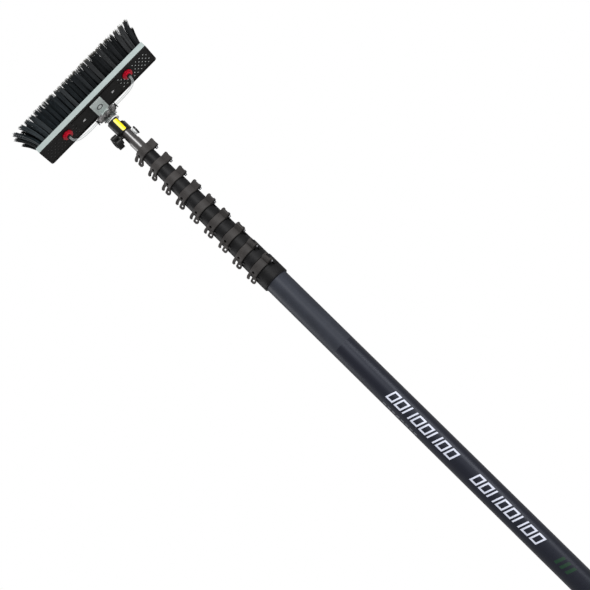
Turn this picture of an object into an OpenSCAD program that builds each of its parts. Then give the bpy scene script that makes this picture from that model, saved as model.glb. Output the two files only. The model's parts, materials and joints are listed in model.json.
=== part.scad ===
// Telescopic water-fed window cleaning pole, closed, with a tilting brush head.
// The pole runs along +Z with the outer face of its base cap at the origin.
// The brush is long along X, and its bristles point up and away from the user, who is at -Y.

/* [Pole] */
// Outer diameter of the largest tube
base_od = 52.6; // [48:0.2:60]
// Step in diameter from one tube to the next
tube_step = 3; // [2.8:0.1:3.2]
// Wall thickness of each tube
tube_wall = 1.2; // [1.1:0.05:1.3]
// Length of the largest tube
base_length = 1500; // [1200:10:1800]
// Distance from one clamp to the next when the pole is closed
clamp_pitch = 43.5; // [43:0.5:60]
// Tip tube left showing above the last clamp
tip_reach = 25.5; // [20:0.5:60]

/* [Clamps] */
// Width of a clamp lever along the pole
lever_width = 18.5; // [16:0.5:20]
// Thickness of the lever band
lever_thick = 3.7; // [3:0.1:4.5]
// Length of the band from its pin to its finger hole
lever_reach = 47.5; // [44:0.5:50]
// Collar wall over the smallest tube
collar_wall = 1.6; // [1.4:0.1:2.4]
// Extra collar wall on each larger clamp
collar_growth = 0.22; // [0.1:0.01:0.25]
// Diameter of the lever pins
pin_d = 3; // [2.5:0.1:3.5]

/* [Neck] */
// Radius of the neck housing
neck_r = 15.5; // [14:0.5:17]
// Length of the neck housing
neck_length = 36.5; // [36:0.5:50]
// Diameter across the tips of the star knob
knob_d = 34; // [28:1:36]

/* [Brush] */
// Length of the brush stock
stock_length = 310; // [250:5:400]
// Width of the brush stock
stock_width = 60; // [54:1:70]
// Thickness of the brush core
core_thick = 13; // [12:0.5:20]
// Length of the bristles
bristle_length = 72; // [40:1:90]
// Tilt of the brush away from the user, as stored
brush_tilt = 12; // [0:1:40]
// Distance of each jet from the middle of the brush
jet_reach = 88; // [80:1:110]

/* [Hidden] */
$fn = 64;
SECTIONS = 9;

// Small distances shared by several pieces
eps = 0.01;
slide_gap = (tube_step - 2 * tube_wall) / 2;  // radial gap between nested tubes
seat_cut = 0.1;          // each tube is turned down this much under its collar
side_gap = 0.3;          // gap between pieces that move past each other

// Base cap
cap_floor = 5;
cap_height = 40;
cap_wall = 3;
hose_hole_r = 10;
inner_tube_z = 12;       // lower ends of the sliding tubes, just above the cap floor

// Clamps, measured from the middle of the lever band
half_band = lever_width / 2;
tube_stop = -14;         // upper end of the tube that carries the collar
groove_low = -17.8;
collar_low = -33.3;
last_collar_low = -39.8; // the collar on the base tube is longer
ring_rise = 1;           // grip ring over the carrying tube's radius
band_rise = ring_rise + side_gap;
pin_rise = 8.5;          // pin centre over the carrying tube's radius
knuckle_r = 4.6;
lug_r = 4.4;
lug_half = 4.5;
slot_half = 4.9;
slot_front = 5.2;
block_rise = 16;
block_front = 9.5;
block_step = 0.2;        // the root block is this much narrower than the band on each side
finger_flare = 48;       // how far the fingers turn outwards at the end of the band
finger_thick = 4.2;
finger_hole_r = 3.2;
finger_hole_back = 5.4;  // from the finger hole to the place where the fingers part
pin_head_r = 3;
pin_head_h = 3;

function tube_r(k) = (base_od - (SECTIONS + 1 - k) * tube_step) / 2;
function collar_r(k) = tube_r(k + 1) + collar_wall + collar_growth * (k - 1);
function band_z(k) = cap_floor + base_length - tube_stop + (SECTIONS - k) * clamp_pitch;
function collar_bottom(k) = k == SECTIONS ? last_collar_low : collar_low;
function arc_deg(length, radius) = length / radius * 180 / PI;
function lever_span(k) = arc_deg(lever_reach, tube_r(k + 1) + 3);
function lever_middle(k) = k < 8 ? -86 : -98;
function pin_angle(k) = lever_middle(k) + lever_span(k) / 2;
function pin_radius(k) = tube_r(k + 1) + pin_rise;
function band_end(k) = lever_span(k) + arc_deg(1.5, tube_r(k + 1) + 3);

// Neck, from the tip tube upwards
tip_top = band_z(1) + half_band + tip_reach;
sleeve_show = 26.5;      // spigot left showing between the tip tube and the housing
neck_low = tip_top + sleeve_show;
neck_top = neck_low + neck_length;
neck_shift = -1.5;       // the housing is a little fuller on its -X side
spigot_r = tube_r(1) - tube_wall - 0.05;
spigot_wall = 1.6;
spigot_depth = 50;
spigot_socket = 7;
stem_r = 6;
stem_fit = 0.06;
stem_depth = 24;
washer_h = 2;
washer_r = 14;
bridge_h = 3.2;
ear_r = 9.5;
ear_in = 4.9;
ear_out = 12.9;
knuckle_gap = 0.3;
tongue_r = 8.5;
hinge_z = neck_top + washer_h + bridge_h + knuckle_gap + tongue_r;
hinge_bolt_r = 3;
hinge_fit = 0.05;

// Cross bolt through the spigot, and the clamp knob beside it, on axes turned a little away from X
cross_z = neck_low - 11;
cross_turn = 6;
cross_r = 3;
disc_r = 9.3;
disc_in = 17.7;
disc_h = 3;
shoulder_r = 7.5;
knob_z = neck_low - 4;
knob_turn = 12;
knob_in = 17.6;          // inner face of the knob, from the pole's axis
knob_h = 17;
knob_lobes = 5;
knob_stem_r = 3;
stem_in = 8.5;           // inner end of the knob's stem
knob_boss_r = 11;
knob_boss_h = 3.5;

// Latch button, in a pocket on the +X side of the housing
latch_z = neck_low + 16; // height of its pivot
latch_x = 10.8;
latch_low = neck_low + 0.8;
latch_high = neck_low + 19;
latch_out = 15.8;
latch_in = 9.6;
latch_half = 5.5;
pocket_floor = 6.8;
pocket_gap = 0.4;
pivot_r = 1.5;
pivot_half = 7.6;
spring_z = neck_low + 10;
spring_r = 2.2;
spring_wire = 0.4;
spring_turns = 4;

// Brush, in its own frame: X along the stock, Y across it away from the user,
// and Z towards the bristles, with Z = 0 on the back plate. Heights over the
// back plate are negative here.
hinge_across = 20;
hinge_height = 24;
back_thick = 2.5;
rim_h = 1;
rim_w = 2.2;
stock_corner = 6;
core_low = back_thick;
core_high = back_thick + core_thick;
bristle_root = 150;      // half length of the tufted field at the core
bristle_tip = 172;       // half length at the tips, which spread
bristle_half = 27;
jet_across = -8;
jet_hole_r = 4.2;
jet_thread_r = 4;
jet_hub_r = 5;
jet_hub_h = 9.5;
jet_socket_h = 5.5;
jet_nozzle_h = 4;
nut_r = 12;
nut_base_h = 3.6;
nut_top_r = 8.6;
nut_top_h = 6.6;
nut_lobes = 8;
fixing_reach = 41.8;     // the two accessory holes in the back plate
fixing_r = 4.2;
fixing_across = 3;
fixing_depth = 3;        // blind pockets of the core under the accessory holes
screw_across = 2.3;
screw_r = 2.5;
screw_head_r = 5;
bracket_half = 15.25;
bracket_near = -21.7;
bracket_far = 26;
bracket_thick = 2.5;
flange_half = 8.5;
flange_h = 7;
tongue_half = 4.6;
tee_across = 2;
tee_height = 26.5;
tee_r = 7.5;
tee_half = 23;
tee_waist_r = 4;
tee_shoulder = 16;       // inner ends of the two tubes
leg_r = 4.4;
leg_out = 9;
inlet_r = 2.6;
inlet_depth = 9;
collet_bore_r = 2.9;
collet_sleeve_r = 4;
collet_disc_r = 7;
collet_out = 27.5;
collet_disc_h = 2;
collet_in = 18;
tube_r_jet = 2.5;
tube_sides = 10;

// Route of the right-hand jet tube: along X, across, and height over the back plate
tube_route = [
    [88, -8, 5.5], [88, -8, 9.5], [88, -7.9, 13.5], [87.4, -7.6, 17.5], [85.6, -7, 21.2],
    [82.6, -6.2, 24.2], [78.8, -5.2, 26.3], [74.6, -4.2, 27.5], [70, -3.2, 28], [64, -2, 28.1],
    [58, -0.8, 28], [52, 0.2, 27.7], [46, 1, 27.3], [40, 1.6, 26.9], [34, 1.9, 26.6],
    [28, 2, 26.5], [22, 2, 26.5], [16, 2, 26.5]];

// ---- Tubes ----

module pole_tube(k, low, top, seat_low) {
    translate([0, 0, low])
        difference() {
            union() {
                cylinder(r = tube_r(k), h = seat_low - low, $fn = 96);
                cylinder(r = tube_r(k) - seat_cut, h = top - low, $fn = 96);
            }
            translate([0, 0, -1]) cylinder(r = tube_r(k) - tube_wall, h = top - low + 2, $fn = 96);
        }
}

module base_tube() {
    seat = band_z(SECTIONS) + last_collar_low;
    color([0.16, 0.17, 0.19])
        difference() {
            pole_tube(SECTIONS + 1, cap_floor, cap_floor + base_length, seat);
            // seat for the base cap
            translate([0, 0, cap_floor - 1])
                difference() {
                    cylinder(r = base_od, h = cap_height - cap_floor + 1);
                    translate([0, 0, -1]) cylinder(r = base_od / 2 - seat_cut, h = cap_height, $fn = 96);
                }
        }
}

module section_tube(k) {
    color([0.12, 0.12, 0.13])
        if (k == 1) {
            pole_tube(1, inner_tube_z, tip_top, tip_top - 1);
        } else {
            pole_tube(k, inner_tube_z, band_z(k - 1) + tube_stop, band_z(k - 1) + collar_low);
        }
}

module base_cap() {
    r = base_od / 2;
    color([0.07, 0.07, 0.07])
        rotate_extrude($fn = 96)
            polygon([[hose_hole_r, 0], [r + cap_wall - 2, 0], [r + cap_wall, 2],
                     [r + cap_wall, cap_height - 1.5], [r + cap_wall - 1.5, cap_height],
                     [r - seat_cut, cap_height], [r - seat_cut, cap_floor], [hose_hole_r, cap_floor]]);
}

// ---- Clamps ----

// A ring cut between two angles, from radius r_low to r_high and from z_low to z_high
module sector(r_low, r_high, z_low, z_high, from, to) {
    rotate([0, 0, from])
        rotate_extrude(angle = to - from, $fn = 96)
            translate([r_low, z_low]) square([r_high - r_low, z_high - z_low]);
}

module clamp_collar(k) {
    carry = tube_r(k + 1);
    outer = collar_r(k);
    low = collar_bottom(k);
    end = band_end(k);
    color([0.11, 0.11, 0.12])
        translate([0, 0, band_z(k)])
        rotate([0, 0, pin_angle(k)])
        difference() {
            union() {
                difference() {
                    rotate_extrude($fn = 96)
                        polygon([[carry - seat_cut, low], [outer - 0.8, low], [outer, low + 0.8],
                                 [outer, half_band - 1], [outer - 1, half_band],
                                 [tube_r(k) + slide_gap, half_band],
                                 [tube_r(k) + slide_gap, tube_stop], [carry - seat_cut, tube_stop]]);
                    // seat of the lever band
                    sector(carry + ring_rise, outer + 5, -half_band - 0.4, half_band + 1,
                           -end - arc_deg(3, outer), 3);
                    // open groove on the base side of the band
                    sector(carry + 0.7, outer + 5, groove_low, -half_band, -end - 22, 10);
                    // parting line round the back
                    sector(outer - 0.7, outer + 5, groove_low - 0.5, groove_low + 0.9, 0, 360);
                    // split that lets the grip ring close
                    rotate([0, 0, -10])
                        translate([carry - 4, -0.6, tube_stop + 1]) cube([8, 1.2, 40]);
                }
                // lug that carries the pin
                translate([carry + 0.2, -lug_r, -lug_half]) cube([pin_rise - 0.2, 2 * lug_r, 2 * lug_half]);
                translate([pin_radius(k), 0, -lug_half]) cylinder(r = lug_r, h = 2 * lug_half);
            }
            translate([pin_radius(k), 0, -lug_half - 1]) cylinder(r = pin_d / 2, h = 2 * lug_half + 2);
            if (k == SECTIONS)
                sector(outer - 0.5, outer + 5, low + 1.6, low + 2.8, 0, 360);
        }
}

// Outlines of the two fingers: the first value runs outwards, the second along the pole
module finger_outline() {
    root = half_band - 1;
    polygon([[-2, root], [4, root - 0.2], [9.4, 6.9], [13.2, 4.2], [13.2, 0.2], [11, -0.8],
             [8, 1.4], [4, 2.2], [-2, 2.2]]);
    difference() {
        polygon([[-2, -1.6], [3, -3], [7.6, -4.4], [11.2, -5.2], [13, -7.4], [13, -13.6],
                 [11.4, -16], [7.6, -16.4], [3, -13.4], [-2, -root]]);
        translate([5.4, -12.4]) square([3.4, 4.4]);
    }
}

module clamp_lever(k) {
    carry = tube_r(k + 1);
    inner = carry + band_rise;
    start = arc_deg(5.3, carry + 3);
    end = band_end(k);
    c = 0.6;
    color([0.3, 0.29, 0.28])
        translate([0, 0, band_z(k)])
        rotate([0, 0, pin_angle(k)])
        difference() {
            union() {
                // band round the front of the pole
                rotate([0, 0, -end])
                    rotate_extrude(angle = end - start, $fn = 96)
                        polygon([[inner - 1, -half_band], [inner + lever_thick - c, -half_band],
                                 [inner + lever_thick, c - half_band], [inner + lever_thick, half_band - c],
                                 [inner + lever_thick - c, half_band], [inner - 1, half_band]]);
                // root block and the two arms on the pin
                translate([0, 0, block_step - half_band])
                    linear_extrude(lever_width - 2 * block_step) {
                        translate([pin_radius(k), 0]) circle(r = knuckle_r);
                        polygon([[carry - 4, 0], [carry - 4, -block_front],
                                 [carry + block_rise - 1.2, -block_front],
                                 [carry + block_rise, 1.2 - block_front],
                                 [carry + block_rise, -2], [carry + block_rise - 0.8, 0]]);
                    }
                // fingers
                rotate([0, 0, -end])
                    translate([inner + lever_thick / 2, 0, 0])
                    rotate([0, 0, finger_flare])
                    mirror([0, 1, 0])
                    translate([-finger_thick / 2, 0, 0])
                    rotate([90, 0, 90])
                    linear_extrude(finger_thick) finger_outline();
            }
            // room for the collar's lug
            translate([0, -slot_front, -slot_half]) cube([60, slot_front + 10, 2 * slot_half]);
            // running hole for the pin
            translate([pin_radius(k), 0, -half_band - 1]) cylinder(r = pin_d / 2 + 0.05, h = lever_width + 2);
            // finger hole at the end of the band
            rotate([0, 0, arc_deg(finger_hole_back, carry + 3) - lever_span(k)])
                translate([inner - 3, 0, 0.3]) rotate([0, 90, 0]) cylinder(r = finger_hole_r, h = 10);
            // inner face, clear of the grip ring
            translate([0, 0, -half_band - 8]) cylinder(r = inner, h = lever_width + 16, $fn = 96);
        }
}

module lever_pin(k) {
    color([0.55, 0.55, 0.56])
        translate([0, 0, band_z(k)])
        rotate([0, 0, pin_angle(k)])
        translate([pin_radius(k), 0, 0]) {
            translate([0, 0, -half_band - 0.5]) cylinder(r = pin_d / 2, h = lever_width + 0.3);
            translate([0, 0, -half_band - 0.3 - pin_head_h]) cylinder(r = pin_head_r, h = pin_head_h);
        }
}

// ---- Neck ----

module cross_frame() {
    translate([0, 0, cross_z]) rotate([0, 0, cross_turn]) rotate([0, 90, 0]) children();
}

// Z runs outwards along the knob's axis, on the -X side
module knob_frame() {
    translate([0, 0, knob_z]) rotate([0, 0, knob_turn]) rotate([0, -90, 0]) children();
}

// Pocket of the latch button, through the spigot's end and the side of the housing
module latch_pocket() {
    translate([pocket_floor, -latch_half - pocket_gap, latch_low - 1])
        cube([20, 2 * (latch_half + pocket_gap), latch_high - latch_low + 2]);
}

module neck_spigot() {
    low = tip_top - spigot_depth;
    color([0.17, 0.17, 0.18])
        difference() {
            translate([0, 0, low]) cylinder(r = spigot_r, h = neck_low + spigot_socket - low, $fn = 96);
            translate([0, 0, low - 1]) cylinder(r = spigot_r - spigot_wall, h = 200, $fn = 96);
            latch_pocket();
            cross_frame() translate([0, 0, -40]) cylinder(r = cross_r, h = 80);
            knob_frame() cylinder(r = knob_stem_r + 0.05, h = 40);
        }
}

module neck_housing() {
    color([0.09, 0.09, 0.1])
        difference() {
            translate([neck_shift, 0, neck_low]) cylinder(r = neck_r, h = neck_length, $fn = 96);
            translate([0, 0, neck_low - 1]) cylinder(r = spigot_r, h = spigot_socket + 1, $fn = 96);
            translate([0, 0, neck_top - stem_depth - 1]) cylinder(r = stem_r + stem_fit, h = stem_depth + 2);
            // flat beside the swivel
            translate([8.5, -20, latch_high + 3]) cube([20, 40, 40]);
            latch_pocket();
            // bores of the button's pivots
            translate([latch_x, -pivot_half - 0.2, latch_z])
                rotate([-90, 0, 0]) cylinder(r = pivot_r + 0.05, h = 2 * pivot_half + 0.4);
        }
}

module latch_button() {
    color([0.16, 0.16, 0.17]) {
        difference() {
            translate([latch_in, -latch_half, latch_low])
                cube([latch_out - latch_in, 2 * latch_half, latch_high - latch_low]);
            // finger grooves
            for (i = [0:2])
                translate([latch_out - 0.7, -20, latch_low + 2 + 2.4 * i]) cube([5, 40, 1.1]);
            translate([latch_out - 1.2, -20, latch_z - 3.4]) cube([5, 40, 1.6]);
            // the lower end is eased so that it can swing inwards
            translate([latch_in, 0, latch_low]) rotate([0, 12, 0]) translate([-5, -20, -6]) cube([30, 40, 6]);
        }
        translate([latch_x, -pivot_half, latch_z])
            rotate([-90, 0, 0]) cylinder(r = pivot_r, h = 2 * pivot_half);
    }
}

module latch_spring() {
    length = latch_in - pocket_floor;
    rise = (length - 2 * spring_wire) / (spring_turns * 2);
    color([0.7, 0.7, 0.72])
        translate([pocket_floor, 0, spring_z])
        rotate([0, 90, 0])
        difference() {
            union() {
                cylinder(r = spring_r - spring_wire, h = length);
                for (i = [0:2 * spring_turns])
                    translate([0, 0, spring_wire / 2 + rise * i])
                        cylinder(r = i % 2 == 0 ? spring_r : spring_r - spring_wire / 2, h = spring_wire);
            }
            translate([0, 0, -1]) cylinder(r = spring_r - 2 * spring_wire, h = length + 2);
        }
}

module cross_bolt() {
    color([0.1, 0.1, 0.1])
        cross_frame() {
            translate([0, 0, -spigot_r]) cylinder(r = cross_r, h = spigot_r + disc_in);
            translate([0, 0, disc_in]) cylinder(r = disc_r, h = disc_h);
            translate([0, 0, spigot_r + 1.5]) cylinder(r = shoulder_r, h = disc_in - spigot_r - 1.5);
        }
}

module star_knob() {
    lobe_r = knob_d * 0.19;
    color([0.08, 0.08, 0.08])
        knob_frame()
        translate([0, 0, knob_in])
        difference() {
            union() {
                cylinder(r = knob_boss_r, h = knob_boss_h);
                // threaded stem, through the wall of the spigot
                translate([0, 0, stem_in - knob_in]) cylinder(r = knob_stem_r, h = knob_in - stem_in + 1);
                translate([0, 0, knob_boss_h]) {
                    cylinder(r = knob_d / 2 - lobe_r, h = knob_h - knob_boss_h);
                    for (i = [0:knob_lobes - 1])
                        rotate([0, 0, 360 / knob_lobes * i + 18])
                            translate([knob_d / 2 - lobe_r, 0, 0])
                            cylinder(r = lobe_r, h = knob_h - knob_boss_h - 1.5);
                }
            }
            translate([0, 0, knob_h - 2]) cylinder(r = 5.5, h = 5);
        }
}

module swivel_washer() {
    color([0.92, 0.92, 0.9])
        translate([0, 0, neck_top])
        difference() {
            cylinder(r = washer_r, h = washer_h);
            translate([0, 0, -1]) cylinder(r = stem_r + 0.3, h = washer_h + 2);
        }
}

module hinge_yoke() {
    bridge = neck_top + washer_h;
    color([0.2, 0.2, 0.21])
        difference() {
            union() {
                translate([0, 0, neck_top - stem_depth + 1]) cylinder(r = stem_r, h = stem_depth + washer_h);
                translate([-ear_out, -8, bridge]) cube([2 * ear_out, 16, bridge_h]);
                for (x = [ear_in, -ear_out])
                    translate([x, 0, 0]) {
                        translate([0, 0, hinge_z]) rotate([0, 90, 0]) cylinder(r = ear_r, h = ear_out - ear_in);
                        translate([0, -8, bridge]) cube([ear_out - ear_in, 16, hinge_z - bridge]);
                    }
            }
            translate([-20, 0, hinge_z]) rotate([0, 90, 0]) cylinder(r = hinge_bolt_r, h = 40);
            translate([0, 0, neck_top - stem_depth]) cylinder(r = 2.5, h = stem_depth - 2);
        }
}

module hinge_bolt() {
    color([0.45, 0.46, 0.47])
        translate([0, 0, hinge_z])
        rotate([0, 90, 0]) {
            translate([0, 0, -ear_out]) cylinder(r = hinge_bolt_r, h = 2 * ear_out + 5.5);
            difference() {
                translate([0, 0, -ear_out - 3.5]) cylinder(r = 5.2, h = 3.5);
                translate([0, 0, -ear_out - 4]) cylinder(r = 2.6, h = 2.5, $fn = 6);
            }
        }
}

module hinge_nut() {
    color([0.5, 0.5, 0.52])
        translate([ear_out, 0, hinge_z])
        rotate([0, 90, 0])
        difference() {
            cylinder(r = 5.8, h = 4.5, $fn = 6);
            translate([0, 0, -1]) cylinder(r = hinge_bolt_r, h = 7);
        }
}

// ---- Brush head ----

module brush_frame() {
    translate([0, 0, hinge_z])
        rotate([-brush_tilt, 0, 0])
        translate([0, -hinge_across, hinge_height])
        children();
}

// A cylinder across the brush, along X, at a place across the stock and a height over the back
module along_x(r, from, to, across, height) {
    translate([from, across, -height]) rotate([0, 90, 0]) cylinder(r = r, h = to - from);
}

module brush_bracket() {
    color([0.72, 0.75, 0.75])
        brush_frame()
        difference() {
            union() {
                // foot on the back plate
                translate([-bracket_half, bracket_near, -bracket_thick])
                    cube([2 * bracket_half, bracket_far - bracket_near, bracket_thick]);
                // upturned flange and the tongue that carries the hinge
                translate([-flange_half, bracket_far - 2.5, -flange_h]) cube([2 * flange_half, 2.5, flange_h]);
                translate([-tongue_half, 0, 0])
                    rotate([90, 0, 90])
                    linear_extrude(2 * tongue_half)
                    polygon([[23.5, 0], [26, 0], [28.2, -20], [20, -hinge_height - 1],
                             [12, -hinge_height], [12, -17], [20, -14], [23.5, -flange_h]]);
                along_x(tongue_r, -tongue_half, tongue_half, hinge_across, hinge_height);
            }
            along_x(hinge_bolt_r + hinge_fit, -10, 10, hinge_across, hinge_height);
            translate([0, screw_across, -bracket_thick - 1]) cylinder(r = screw_r + 0.2, h = 10);
            translate([0, screw_across, -bracket_thick - eps]) cylinder(r1 = screw_head_r + 0.3, r2 = screw_r + 0.2, h = 2);
            // ribs pressed into the foot are left as two shallow slots
            for (x = [-11, 8.8])
                translate([x, bracket_near + 6, -bracket_thick - eps]) cube([2.2, 30, 0.5]);
        }
}

module bracket_screw() {
    color([0.6, 0.61, 0.62])
        brush_frame()
        translate([0, screw_across, -bracket_thick])
        difference() {
            union() {
                cylinder(r1 = screw_head_r, r2 = screw_r, h = 1.9);
                cylinder(r = screw_r, h = 13);
            }
            translate([0, 0, -eps]) cylinder(r = 1.6, h = 1.2, $fn = 6);
        }
}

module brush_core() {
    half = stock_length / 2;
    color([0.62, 0.68, 0.67])
        brush_frame()
        translate([0, 0, core_low])
        difference() {
            linear_extrude(core_thick) stock_outline(half);
            for (side = [-1, 1])
                translate([side * jet_reach, jet_across, -1]) cylinder(r = jet_thread_r, h = core_thick + 2);
            for (side = [-1, 1])
                translate([side * fixing_reach, fixing_across, -1]) cylinder(r = fixing_r, h = fixing_depth + 1);
            translate([0, screw_across, -1]) cylinder(r = screw_r, h = 13 - bracket_thick - back_thick + 1);
        }
}

// Plan of the stock: square corners on the near edge and round ones on the far edge
module stock_outline(half) {
    w = stock_width / 2;
    c = stock_corner;
    translate([-half, -w]) square([2 * half, stock_width - c]);
    translate([-half + c, -w]) square([2 * (half - c), stock_width]);
    for (side = [-1, 1])
        translate([side * (half - c), w - c]) circle(r = c);
}

// Six-sided holes set in staggered rows over each end of the back plate
module perforations() {
    pitch = 10.4;
    row = 8.1;
    for (side = [-1, 1])
        for (j = [-2:2])
            for (i = [0:7]) {
                x = 66 + pitch * (i + (j % 2 == 0 ? 0 : 0.5));
                y = row * j + 1.5;
                clear = norm([x - jet_reach, y - jet_across]) > nut_r + 2.6;
                if (clear)
                    translate([side * x, y, -5]) cylinder(r = 2.3, h = 20, $fn = 6);
            }
}

module brush_back() {
    half = stock_length / 2;
    w = stock_width / 2;
    color([0.07, 0.07, 0.07])
        brush_frame()
        difference() {
            union() {
                difference() {
                    translate([0, 0, -rim_h]) linear_extrude(back_thick + rim_h) stock_outline(half);
                    translate([-half + rim_w, -w + rim_w, -rim_h - 1])
                        cube([2 * (half - rim_w), stock_width - 2 * rim_w, rim_h + 1]);
                }
                // ridge along the near side of the panels
                translate([-66, -25, -0.9]) cube([132, 1.4, 1.5]);
            }
            // sunk panel on each side of the bracket
            for (x = [-59, 18])
                translate([x, -22.5, -eps]) cube([41, 49.5, 0.8]);
            perforations();
            for (side = [-1, 1]) {
                translate([side * jet_reach, jet_across, -5]) cylinder(r = jet_hole_r, h = 20);
                translate([side * fixing_reach, fixing_across, -5]) cylinder(r = fixing_r, h = 20);
                translate([side * 62.5, -6, -5]) cylinder(r = 1.7, h = 20, $fn = 6);
            }
            translate([0, screw_across, -5]) cylinder(r = screw_r, h = 20);
        }
}

module bristles() {
    color([0.17, 0.19, 0.21])
        brush_frame()
        translate([0, bristle_half, 0])
        rotate([90, 0, 0])
        linear_extrude(2 * bristle_half)
        polygon([[-bristle_root, core_high], [bristle_root, core_high],
                 [bristle_tip, core_high + bristle_length], [-bristle_tip, core_high + bristle_length]]);
}

// Both jets: a threaded body through the stock, with a push-in hub on the back
module jet_bodies() {
    color([0.06, 0.06, 0.06])
        brush_frame()
        for (side = [-1, 1])
            translate([side * jet_reach, jet_across, 0])
            difference() {
                union() {
                    translate([0, 0, -nut_top_h - 0.4]) cylinder(r = jet_thread_r, h = core_high + nut_top_h + 0.4);
                    translate([0, 0, -jet_hub_h]) cylinder(r = jet_hub_r, h = jet_hub_h - nut_top_h);
                }
                translate([0, 0, -jet_hub_h - 1]) cylinder(r = tube_r_jet + 0.4, h = jet_hub_h - jet_socket_h + 1);
                translate([0, 0, -jet_socket_h - 1]) cylinder(r = 1.5, h = core_high + jet_socket_h - 1);
                translate([-10, -0.6, core_high - 1.2]) cube([20, 1.2, 5]);
            }
}

// Both jet nuts: a lobed flange with a smaller ribbed crown
module jet_nuts() {
    color([0.75, 0.06, 0.12])
        brush_frame()
        for (side = [-1, 1])
            translate([side * jet_reach, jet_across, 0])
            difference() {
                union() {
                    translate([0, 0, -nut_base_h])
                        linear_extrude(nut_base_h)
                        difference() {
                            circle(r = nut_r);
                            for (i = [0:nut_lobes - 1])
                                rotate(360 / nut_lobes * i + 22.5) translate([nut_r + 1.6, 0]) circle(r = 2.6);
                        }
                    translate([0, 0, -nut_top_h])
                        linear_extrude(nut_top_h)
                        difference() {
                            circle(r = nut_top_r);
                            for (i = [0:nut_lobes - 1])
                                rotate(360 / nut_lobes * i) translate([nut_top_r + 0.5, 0]) circle(r = 1.3);
                        }
                }
                translate([0, 0, -20]) cylinder(r = jet_thread_r, h = 40);
            }
}

module tee_body() {
    color([0.25, 0.25, 0.26])
        brush_frame()
        difference() {
            union() {
                along_x(tee_waist_r, -tee_half, tee_half, tee_across, tee_height);
                for (side = [-1, 1]) {
                    from = side > 0 ? 9.5 : -tee_half;
                    to = side > 0 ? tee_half : -9.5;
                    along_x(tee_r - 0.8, from, to, tee_across, tee_height);
                    along_x(tee_r, side > 0 ? 11 : -tee_half + 2, side > 0 ? tee_half - 2 : -11, tee_across, tee_height);
                }
                // inlet leg towards the pole
                translate([0, tee_across, -tee_height - leg_out]) cylinder(r = leg_r, h = leg_out);
                // saddle fixed to the bracket's tongue
                translate([-4, tee_across, -tee_height + 1.2]) cube([8, 12 - tee_across, 5]);
            }
            for (side = [-1, 1]) {
                reach = side > 0 ? [tee_shoulder, tee_half + 1] : [-tee_half - 1, -tee_shoulder];
                along_x(collet_sleeve_r + 0.1, side > 0 ? collet_in - 2 : reach[0],
                        side > 0 ? reach[1] : 2 - collet_in, tee_across, tee_height);
            }
            along_x(1.6, -tee_shoulder - 1, tee_shoulder + 1, tee_across, tee_height);
            translate([0, tee_across, -tee_height - leg_out - 1]) cylinder(r = inlet_r, h = inlet_depth + 1);
            translate([0, tee_across, -tee_height - 4]) cylinder(r = 1.6, h = 4);
            // the saddle is hollowed to sit against the tongue's eye
            along_x(tongue_r, -5, 5, hinge_across, hinge_height);
        }
}

// Release ring of one tube socket, with the disc that a fingertip presses
module collet(side) {
    color([0.05, 0.05, 0.05])
        brush_frame()
        mirror([side > 0 ? 0 : 1, 0, 0])
        difference() {
            union() {
                along_x(collet_sleeve_r, collet_in, collet_out - 1, tee_across, tee_height);
                along_x(collet_disc_r, collet_out - collet_disc_h, collet_out, tee_across, tee_height);
            }
            along_x(collet_bore_r, collet_in - 1, collet_out + 1, tee_across, tee_height);
        }
}

// ---- Jet tubes ----

function unit(v) = v / norm(v);
function heading(route, i) =
    unit(route[min(i + 1, len(route) - 1)] - route[max(i - 1, 0)]);
// One ring of the sweep, square to the heading and kept upright on the across direction
function ring(route, i, r, sides) =
    let (t = heading(route, i), a = unit(cross(t, [0, 1, 0])), b = cross(t, a))
    [for (s = [0:sides - 1]) route[i] + r * (cos(360 * s / sides) * a + sin(360 * s / sides) * b)];

module swept_tube(route, r, sides) {
    n = len(route);
    points = [for (i = [0:n - 1]) each ring(route, i, r, sides)];
    walls = [for (i = [0:n - 2]) for (s = [0:sides - 1])
        let (a = i * sides + s, b = i * sides + (s + 1) % sides)
        [a, a + sides, b + sides, b]];
    first = [for (s = [0:sides - 1]) s];
    last = [for (s = [sides - 1:-1:0]) (n - 1) * sides + s];
    polyhedron(points = points, faces = concat([first], walls, [last]));
}

module jet_tube(side) {
    route = [for (p = tube_route) [p[0], p[1], -p[2]]];
    color([0.85, 0.87, 0.88])
        brush_frame()
        mirror([side > 0 ? 0 : 1, 0, 0])
        swept_tube(route, tube_r_jet, tube_sides);
}

// ---- Assembly ----

base_tube();
base_cap();
for (k = [1:SECTIONS]) section_tube(k);
for (k = [1:SECTIONS]) clamp_collar(k);
for (k = [1:SECTIONS]) clamp_lever(k);
for (k = [1:SECTIONS]) lever_pin(k);
neck_spigot();
neck_housing();
cross_bolt();
star_knob();
latch_button();
latch_spring();
swivel_washer();
hinge_yoke();
hinge_bolt();
hinge_nut();
brush_bracket();
bracket_screw();
brush_core();
brush_back();
bristles();
jet_bodies();
jet_nuts();
tee_body();
collet(1);  // collet_right
collet(-1);  // collet_left
jet_tube(1);  // jet_tube_right
jet_tube(-1);  // jet_tube_left
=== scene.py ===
import json
import math
import random

import bmesh
import bpy
from mathutils import Matrix, Vector


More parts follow.
